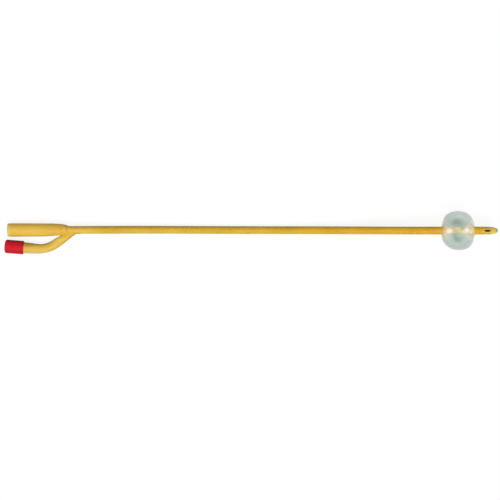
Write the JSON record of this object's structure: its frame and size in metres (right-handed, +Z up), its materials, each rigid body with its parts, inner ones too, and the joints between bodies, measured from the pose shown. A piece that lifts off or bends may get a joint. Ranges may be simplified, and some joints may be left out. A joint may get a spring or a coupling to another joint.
{
  "type": "foley urinary catheter",
  "caption": "Two-way latex balloon catheter: rounded tip with eyes, filled balloon, twin-lumen shaft, drainage funnel and valved inflation arm.",
  "frame": {"origin": "middle of the object's outline on the surface it lies on", "axes": "+X along the shaft from the drainage funnel to the tip, +Y away from the inflation arm, +Z up"},
  "size_m": [0.4, 0.0352, 0.0318],
  "materials": {
    "shaft_latex": "smooth satin amber latex, slightly translucent",
    "tip_latex": "smooth satin amber latex",
    "balloon_latex": "stretched thin latex, grey-green and translucent, yellow at its ends",
    "funnel_latex": "satin moulded latex",
    "red_plastic": "moulded red, semi-gloss",
    "natural_plastic": "moulded natural plastic",
    "white_plastic": "moulded white plastic",
    "seal_rubber": "moulded elastomer",
    "spring_steel": "drawn stainless wire"
  },
  "bodies": {
    "catheter": {"shaft_tube": "shaft_latex", "catheter_tip": "tip_latex", "balloon": "balloon_latex", "y_funnel": "funnel_latex", "valve_housing": "red_plastic", "valve_barb": "natural_plastic", "valve_spring": "spring_steel"},
    "poppet": {"valve_poppet": "white_plastic", "valve_seal": "seal_rubber"}
  },
  "joints": [
    {"name": "poppet_slide", "type": "slide", "parent": "catheter", "child": "poppet", "axis": [0.9968, -0.0802, 0], "range_m": [0, 0.0015], "stiffness_N_per_m": 200, "springref_m": -0.002, "deforming": ["valve_spring"]}
  ]
}
